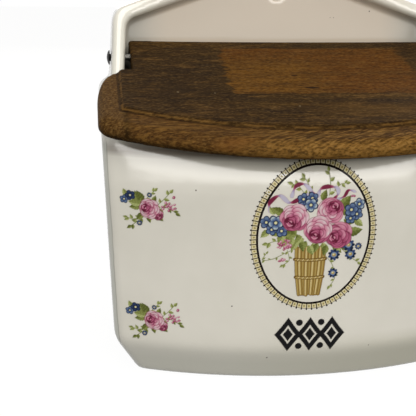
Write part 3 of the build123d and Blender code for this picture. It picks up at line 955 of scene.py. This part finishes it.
# %% Geometry Nodes: the ring
ring_tree, given = node_tree("print_ring", Ware="Object", Layer="Float", Cell="Object", Cells="Int",
                             Place="Vector", Size="Vector", Tilt="Vector")
circle = add(ring_tree, "GeometryNodeCurvePrimitiveCircle", {"Resolution": 256, "Radius": 1.0})
sized = add(ring_tree, "GeometryNodeTransform", {"Geometry": circle.outputs["Curve"], "Scale": given["Size"]})
stood = add(ring_tree, "GeometryNodeTransform", {"Geometry": sized, "Rotation": (-math.pi / 2, 0.0, 0.0)})
placed = add(ring_tree, "GeometryNodeTransform", {"Geometry": stood, "Rotation": given["Tilt"],
                                                  "Translation": given["Place"]})
spaced = add(ring_tree, "GeometryNodeResampleCurve", {"Curve": placed, "Count": given["Cells"]})
run_along = add(ring_tree, "GeometryNodeInputTangent")
spot = add(ring_tree, "GeometryNodeInputPosition")
outwards = add(ring_tree, VECTOR, [spot, given["Place"]], operation="SUBTRACT")
facing = add(ring_tree, "FunctionNodeAxesToRotation",
             {"Primary Axis": run_along, "Secondary Axis": outwards},
             primary_axis="X", secondary_axis="Z")
one_cell = add(ring_tree, "GeometryNodeObjectInfo", {"Object": given["Cell"]})
cells = add(ring_tree, "GeometryNodeInstanceOnPoints", {
    "Points": spaced, "Instance": one_cell.outputs["Geometry"], "Rotation": facing})
real = add(ring_tree, "GeometryNodeRealizeInstances", {"Geometry": cells})
slid = slide_onto_glaze(ring_tree, real, given["Ware"], given["Layer"])
end_tree(ring_tree, slid, print_glaze)

# %% The ring on the box
RING_MIDDLE = (-0.45 * MM, IN_FRONT, 70.15 * MM)
RING_LEAN = math.radians(3.5)  # a print laid by hand is never quite upright
ring = new_object("print_oval_ring", bpy.data.meshes.new("print_oval_ring"))
cell = ring_cell()
run_tree(ring, ring_tree, Ware=ceramic, Layer=INK_LAYER, Cell=cell, Cells=RING_CELLS, Place=RING_MIDDLE,
         Size=(RING_HALF_WIDTH * MM, RING_HALF_HEIGHT * MM, 1.0), Tilt=(0.0, RING_LEAN, 0.0))
bpy.data.objects.remove(cell)
finish_piece(ring, print_glaze, BOX)
print("ring has", len(ring.data.polygons), "faces")

# %% [markdown]
# The lid is one beech plank, planed, with a moulding cut round the front and the sides, then
# stained dark and handled for years. Its mesh is laid out again like the body's, finer, so that
# the step of the moulding stays crisp while every arris is a little worn.

# %% The lid board
lid_board = relaid("lid_board", "beech_lid_board", cell=0.72 * MM, rounds=4)

# %% [markdown]
# The ends of the tongue between the arms were sawn by hand, and not quite square: it is a little
# wider at its back than where it meets the wings. The end faces are drawn out or in by an amount
# that runs straight along the tongue.

# %% Saw the ends of the tongue out of square
TONGUE_HALF, TONGUE_FROM = 73.3, 55.0  # mm from the middle: its end, and where the change begins
TONGUE_BACK, WING_BACK = 39.1, 2.5  # mm, the y of its back edge and of the wings
WIDER_AT_BACK, NARROWER_AT_WING = 0.8, 0.3  # mm at each end
for vertex in lid_board.data.vertices:
    x, y, _ = vertex.co / MM
    if y > WING_BACK and abs(x) > TONGUE_FROM:
        change = np.interp(y, (WING_BACK, TONGUE_BACK), (-NARROWER_AT_WING, WIDER_AT_BACK))
        near_the_end = (abs(x) - TONGUE_FROM) / (TONGUE_HALF - TONGUE_FROM)
        vertex.co.x += math.copysign(1, x) * near_the_end * change * MM
lid_board.data.update()
print("the tongue is", WIDER_AT_BACK + NARROWER_AT_WING, "mm out of square at each end")

# %% [markdown]
# Stained beech: short dark flecks along the grain, slow bands of stain, and bare wood where hands
# have rubbed it. The pattern is worked out in the plank's own directions: Object coordinates
# are turned about the hinge line by the slope of the lid, so that X runs along the grain and Y
# back towards the wall. Grain is noise that is stretched along X.

# %% Beech: the plank's own directions
LID_SLOPE = math.radians(14.7)
hinge = next(joint for joint in frame["joints"] if joint["name"] == "lid_hinge")
beech, wood = new_material("stained_beech")
object_place = add(wood, "ShaderNodeTexCoord").outputs["Object"]
from_hinge = add(wood, VECTOR, [object_place, Vector(hinge["pos_m"])], operation="SUBTRACT")
plank = add(wood, "ShaderNodeMapping", {"Vector": from_hinge, "Rotation": (-LID_SLOPE, 0.0, 0.0),
                                        "Scale": (1 / MM, 1 / MM, 1 / MM)})
at = add(wood, "ShaderNodeSeparateXYZ", [plank]).outputs
above_edge = (at["Z"], -3.0, -1.0)  # the top of the plank, faded out over its edges
soft = functools.partial(mask, wood, ease="SMOOTHSTEP")
stain = functools.partial(lay, wood, ease="SMOOTHSTEP")


def grain(run, width, depth, detail=2.0, turn=0.0, offset=0.0):
    """Noise stretched along the grain: run, width and depth are the size of one streak in mm."""
    turned = add(wood, "ShaderNodeMapping", {"Vector": plank, "Rotation": (0.0, 0.0, turn),
                                             "Location": (offset, offset, offset)})
    streak = (1 / run, 1 / width, 1 / depth)
    stretched = add(wood, VECTOR, [turned, streak], operation="MULTIPLY")
    return add(wood, NOISE, {"Vector": stretched, "Scale": 1.0, "Detail": detail})


print("the grain is read from the hinge line at", [round(c, 3) for c in hinge["pos_m"]])

# %% [markdown]
# The stain follows the shape of the board: its raised field, the moulded margin round it and the
# step between them. How far a point lies inside the field tells them all apart. The front of the
# field is an arc, so it is the distance to the middle of that arc, and at the ends it is X.

# %% Beech: how far each point lies inside the raised field
FIELD_HALF, FIELD_FRONT = 80.9, 88.5  # mm, the field: half its width, hinge line to its front
BOW_OF_FIELD = 174.4  # mm, radius of its front
bow_middle = (0.0, BOW_OF_FIELD - FIELD_FRONT, 0.0)
in_plan = add(wood, VECTOR, [plank, (1.0, 1.0, 0.0)], operation="MULTIPLY")
from_bow_middle = add(wood, VECTOR, [in_plan, bow_middle], operation="DISTANCE").outputs["Value"]
inside_front = add(wood, MATH, [BOW_OF_FIELD, from_bow_middle], operation="SUBTRACT")
sideways = add(wood, MATH, [at["X"]], operation="ABSOLUTE")
inside_end = add(wood, MATH, [FIELD_HALF, sideways], operation="SUBTRACT")
inside = add(wood, MATH, [inside_front, inside_end], operation="MINIMUM")
margin = soft((inside, -0.6, -1.4), above_edge)
front_margin = soft(margin, (inside_end, 1, 4))
end_margin = soft(margin, (inside_end, 1, -1))
print("the field is", 2 * FIELD_HALF, "mm wide")

# %% Beech: the stain, and where hands have worn it
# The edges of the lighter patch are ragged, because the stain ran along the fibres.
wobble = add(wood, MATH, [grain(9, 3, 3), 0.5], operation="SUBTRACT")
ragged_x = add(wood, MATH, [wobble, 12.0, at["X"]], operation="MULTIPLY_ADD")
forward = add(wood, MATH, [at["Y"], -1.0], operation="MULTIPLY")
ragged_forward = add(wood, MATH, [wobble, 3.0, forward], operation="MULTIPLY_ADD")
patch = soft((ragged_x, -32.6, -30.8), (ragged_x, 60, 54), (ragged_forward, -1.5, 1),
             (ragged_forward, 55.4, 54.2), (at["Z"], 0.5, 1.5))
bands = grain(70, 5, 6, 3.0, offset=11.0)
tone = lay(wood, linear("2C1D09"), ("453012", (bands, 0.36, 0.62)))
tone = stain(
    tone,
    ("2C1E0E", 0.6, (ragged_x, -6, -44), (inside, 0, 1), (ragged_forward, -6, 2)),  # the dark left
    ("20150A", 0.5, (grain(24, 10, 9, 3.0, offset=7.0), 0.50, 0.66)),  # blotches
    ("171006", 0.36, (grain(17, 5, 6, 3.0, offset=29.0), 0.52, 0.66)),  # dark clouds
    ("664A26", 0.4, (grain(21, 6, 6, 3.0, offset=37.0), 0.54, 0.68)),  # rubbed clouds
    ("5D370D", 0.85, patch),
    ("684616", 0.7, patch, (ragged_x, 22, -4), (ragged_forward, 6, 24)),  # its golden corner
    ("4E3210", 0.5, patch, (bands, 0.5, 0.4)),
    ("2C1E0E", 0.7, (ragged_x, 52, 60), (ragged_forward, 20, 12)),  # the dark right end
    ("54391A", 0.8, front_margin),
    ("563C1D", 0.8, end_margin),
    ("84602C", 0.75, (inside, -9.5, -13.2), (at["X"], -60, 0), (at["Z"], -5, -3)))  # the worn front edge
print("stained beech has", len(wood.nodes), "nodes so far")

# %% Beech: the grain
# The fibres and vessels of beech are a few tenths of a millimetre wide. They are drawn about a
# millimetre wide, so that they still show from an arm's length.
fibre = grain(8.0, 0.95, 1.5, 2.5, offset=5.0)
vessels = grain(2.4, 0.75, 1.0, 1.0, offset=2.0)
slanting = grain(5.5, 0.85, 1.4, 2.0, turn=math.radians(-27), offset=9.0)
cut_ends = grain(1.0, 1.0, 1.0, 1.5, offset=3.0)
fine = grain(1.7, 0.6, 0.8, 1.0, offset=23.0)
off_margin = soft((margin, 1, 0))
slant_zone = soft(front_margin, (at["X"], -44, -8))
broken = grain(7, 3, 3, 2.0, offset=17.0)
tone = stain(
    tone,
    ("1A1008", 0.48, off_margin, (fibre, 0.5, 0.34)),
    ("7C5C30", 0.2, off_margin, (fibre, 0.52, 0.68)),
    ("140C06", 0.5, off_margin, (vessels, 0.56, 0.66)),
    ("140C06", 0.35, (fine, 0.48, 0.36)),
    ("9A7A48", 0.13, (fine, 0.54, 0.66)),
    ("241709", 0.5, slant_zone, (slanting, 0.5, 0.36)),
    ("94703A", 0.5, slant_zone, (slanting, 0.5, 0.64)),
    ("1C1108", 0.5, front_margin, (vessels, 0.54, 0.64)),
    ("8A6530", 0.35, front_margin, (fibre, 0.5, 0.66)),
    ("241709", 0.4, end_margin, (cut_ends, 0.48, 0.36)),
    ("8A6B3C", 0.3, end_margin, (cut_ends, 0.52, 0.66)),
    # worn wood and a painted highlight along the arris of the step, then a painted shadow at its foot
    ("7C5A2C", 0.38, (inside, -0.6, -0.1), (inside, 0.6, 0.1), (broken, 0.36, 0.56)),  # the arris of the step
    ("1C1108", 0.6, (inside, -2.1, -1.4), (inside, -0.5, -1.0)))  # painted shadow at its foot
print("stained beech has", len(wood.nodes), "nodes so far")

# %% Beech: stains, knots and specks
# Each is an oval on the top: its middle, its length and width, how softly it ends, how strong it is.
for x, y, length, width, ease, strength, hex_colour in (
        (-54, -50, 26, 13, 1.0, 0.5, "1E140A"), (-6, -95, 9, 3.5, 0.8, 0.45, "241709"),
        (25, -72, 40, 9, 1.0, 0.25, "6A4C22"), (-38, -97, 14, 3.5, 1.0, 0.35, "74491F"),
        (60, -68, 30, 10, 1.0, 0.3, "4A3010"), (3.7, -48.4, 4.4, 0.9, 0.4, 1, "140C06"),
        (-1.4, -34.3, 2.0, 0.8, 0.4, 1, "1E1208"), (-56.6, -52.9, 0.7, 0.7, 0.4, 0.6, "8C7A5C"),
        (-40.6, -54.2, 0.6, 0.6, 0.4, 0.45, "8C7A5C"), (-6.0, -68.5, 0.6, 0.5, 0.4, 0.7, "8C7A5C"),
        (-80.0, -33.0, 0.9, 0.7, 0.4, 1, "1E140C")):
    offset = add(wood, VECTOR, [in_plan, (x, y, 0.0)], operation="SUBTRACT")
    shrunk = add(wood, VECTOR, [offset, (1 / length, 1 / width, 0.0)], operation="MULTIPLY")
    away = add(wood, VECTOR, [shrunk], operation="LENGTH").outputs["Value"]
    tone = stain(tone, (hex_colour, strength, (away, 1.0, 1.0 - ease), above_edge))
print("stained beech has", len(wood.nodes), "nodes so far")

# %% [markdown]
# The stain has sunk in and there is no varnish, so the board is dull, with hardly any gloss. The
# same noise that darkens the fibres raises them, and the vessels lie a little lower.

# %% Beech: its surface
relief = add(wood, MATH, [vessels, -0.6, fibre], operation="MULTIPLY_ADD")
raised = add(wood, "ShaderNodeBump", {"Height": relief, "Strength": 0.6, "Distance": 0.2 * MM})
board = add(wood, "ShaderNodeBsdfPrincipled", {"Base Color": tone, "Normal": raised, "Roughness": 0.6,
                                               "IOR": 1.45, "Specular IOR Level": 0.03})
add(wood, "ShaderNodeOutputMaterial", {"Surface": board})
finish_piece(lid_board, beech, LID)
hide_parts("lid_board")
print("stained beech has", len(wood.nodes), "nodes")

# %% [markdown]
# The two hinge screws are blackened steel: heated and quenched in oil, which leaves a thin dark
# skin that still shines where it is rubbed. Between the arm and the lid the skin of the shank is
# worn away and the steel is bright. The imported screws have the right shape, so they keep their
# meshes and only get the material.

# %% The screws
WORN_FROM, WORN_FULLY = 80 * MM, 78.5 * MM  # from the middle: where the skin thins, and where it is gone
steel, tree = new_material("blackened_steel")
spot = add(tree, "ShaderNodeTexCoord").outputs["Object"]
rub = add(tree, NOISE, {"Vector": spot, "Scale": 1 / (1.5 * MM), "Detail": 3.0})
sideways = add(tree, "ShaderNodeSeparateXYZ", [spot]).outputs["X"]
from_middle = add(tree, MATH, [sideways], operation="ABSOLUTE")
tone = lay(tree, linear("0F0E0E"), ("2B2927", (rub, 0.4, 0.75)),
           ("5C5A56", (from_middle, WORN_FROM, WORN_FULLY)))
metal = add(tree, "ShaderNodeBsdfPrincipled", {"Base Color": tone, "Metallic": 1.0, "Roughness": 0.36})
add(tree, "ShaderNodeOutputMaterial", {"Surface": metal})
for node in ("hinge_screw_left", "hinge_screw_right"):
    slots = frame["nodes"][node].data.materials
    slots.clear()
    slots.append(steel)
    print(node, "has", len(frame["nodes"][node].data.polygons), "faces")
